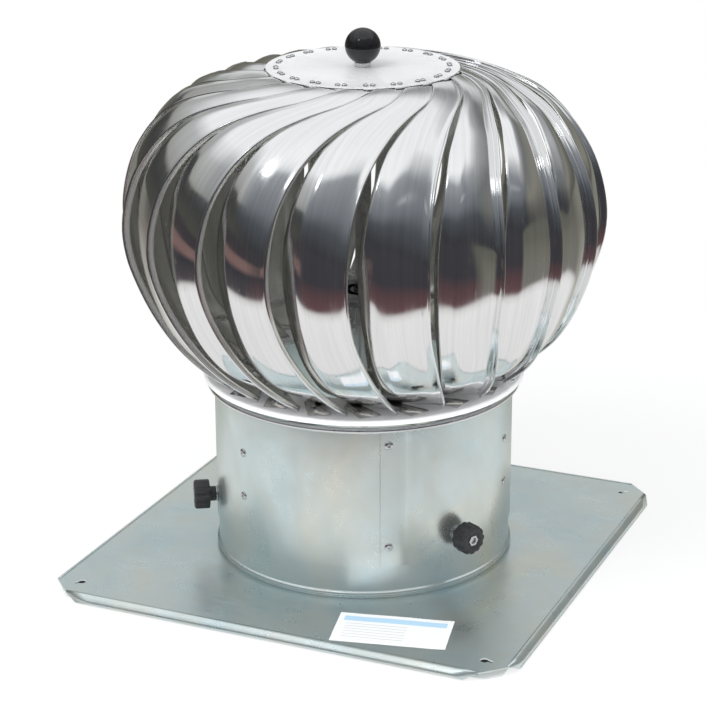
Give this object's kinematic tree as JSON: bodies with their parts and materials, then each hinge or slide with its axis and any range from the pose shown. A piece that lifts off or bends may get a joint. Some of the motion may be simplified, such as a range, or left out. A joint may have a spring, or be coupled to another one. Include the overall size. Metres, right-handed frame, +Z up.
{
  "type": "roof turbine ventilator",
  "caption": "Wind-driven roof ventilator: a twisted-blade rotor turns on a fixed axle above a clamp-on neck that slips over the collar of a square roof plate.",
  "frame": {"origin": "on the rotor axis, level with the lowest edge of the roof plate's drip rims", "axes": "+Z up along the rotor axis; X and Y parallel to the sides of the roof plate"},
  "size_m": [0.488, 0.488, 0.5378],
  "materials": {
    "galvanised": "galvanised sheet, satin",
    "neck_rim": "rolled aluminium, satin",
    "mirror_aluminium": "bright polished",
    "mill_aluminium": "mill finish",
    "rivet_steel": "satin",
    "zinc_steel": "zinc plated",
    "bearing_steel": "ground",
    "housing_iron": "grey paint",
    "knob_black": "polished",
    "clamp_black": "moulded, ribbed"
  },
  "bodies": {
    "base": {"base_plate": "galvanised", "base_collar": "galvanised", "clamp_studs": "zinc_steel"},
    "neck": {"neck_sleeve": "galvanised", "neck_rim": "neck_rim", "sleeve_rivets": "rivet_steel", "spider_arm_1": "galvanised", "spider_arm_2": "galvanised", "spider_arm_3": "galvanised", "spider_hub": "galvanised", "hub_rivets": "rivet_steel", "axle": "zinc_steel", "axle_nuts": "zinc_steel", "bearing_inner_rings": "bearing_steel"},
    "rotor": {"bearing_outer_rings": "bearing_steel", "bearing_housings": "housing_iron", "rotor_ring": "mill_aluminium", "top_disc": "mill_aluminium", "blade_01": "mirror_aluminium", "blade_02": "mirror_aluminium", "blade_03": "mirror_aluminium", "blade_04": "mirror_aluminium", "blade_05": "mirror_aluminium", "blade_06": "mirror_aluminium", "blade_07": "mirror_aluminium", "blade_08": "mirror_aluminium", "blade_09": "mirror_aluminium", "blade_10": "mirror_aluminium", "blade_11": "mirror_aluminium", "blade_12": "mirror_aluminium", "blade_13": "mirror_aluminium", "blade_14": "mirror_aluminium", "blade_15": "mirror_aluminium", "blade_16": "mirror_aluminium", "blade_17": "mirror_aluminium", "blade_18": "mirror_aluminium", "blade_19": "mirror_aluminium", "blade_20": "mirror_aluminium", "top_rivets": "rivet_steel", "foot_rivets": "rivet_steel", "rotor_arm_1": "zinc_steel", "rotor_arm_2": "zinc_steel", "rotor_arm_3": "zinc_steel", "rotor_arm_4": "zinc_steel", "arm_screws": "zinc_steel", "ball_knob": "knob_black", "collar_nut": "zinc_steel", "knob_bolt": "zinc_steel"},
    "clamp_1": {"clamp_washer_1": "zinc_steel"},
    "knob_1": {"clamp_knob_1": "clamp_black", "knob_insert_1": "zinc_steel"},
    "clamp_2": {"clamp_washer_2": "zinc_steel"},
    "knob_2": {"clamp_knob_2": "clamp_black", "knob_insert_2": "zinc_steel"},
    "clamp_3": {"clamp_washer_3": "zinc_steel"},
    "knob_3": {"clamp_knob_3": "clamp_black", "knob_insert_3": "zinc_steel"}
  },
  "joints": [
    {"name": "neck_lift", "type": "slide", "parent": "base", "child": "neck", "axis": [0, 0, 1], "range_m": [0, 0.035]},
    {"name": "rotor_spin", "type": "hinge", "parent": "neck", "child": "rotor", "pos_m": [0, 0, 0.3], "axis": [0, 0, 1], "continuous": true},
    {"name": "clamp_1_travel", "type": "slide", "parent": "base", "child": "clamp_1", "axis": [0.8746, -0.4848, 0], "range_m": [0, 0.003]},
    {"name": "knob_1_turn", "type": "hinge", "parent": "clamp_1", "child": "knob_1", "pos_m": [0.13994, -0.07757, 0.064], "axis": [0.8746, -0.4848, 0], "range_deg": [0, 1090]},
    {"name": "clamp_2_travel", "type": "slide", "parent": "base", "child": "clamp_2", "axis": [-0.0175, 0.9998, 0], "range_m": [0, 0.003]},
    {"name": "knob_2_turn", "type": "hinge", "parent": "clamp_2", "child": "knob_2", "pos_m": [-0.00279, 0.15998, 0.064], "axis": [-0.0175, 0.9998, 0], "range_deg": [0, 1090]},
    {"name": "clamp_3_travel", "type": "slide", "parent": "base", "child": "clamp_3", "axis": [-0.8572, -0.515, 0], "range_m": [0, 0.003]},
    {"name": "knob_3_turn", "type": "hinge", "parent": "clamp_3", "child": "knob_3", "pos_m": [-0.13715, -0.08241, 0.064], "axis": [-0.8572, -0.515, 0], "range_deg": [0, 1090]}
  ],
  "couplings": [
    {"joint": "knob_1_turn", "follows": "clamp_1_travel", "rad_per_m": 6283.2},
    {"joint": "knob_2_turn", "follows": "clamp_2_travel", "rad_per_m": 6283.2},
    {"joint": "knob_3_turn", "follows": "clamp_3_travel", "rad_per_m": 6283.2}
  ]
}
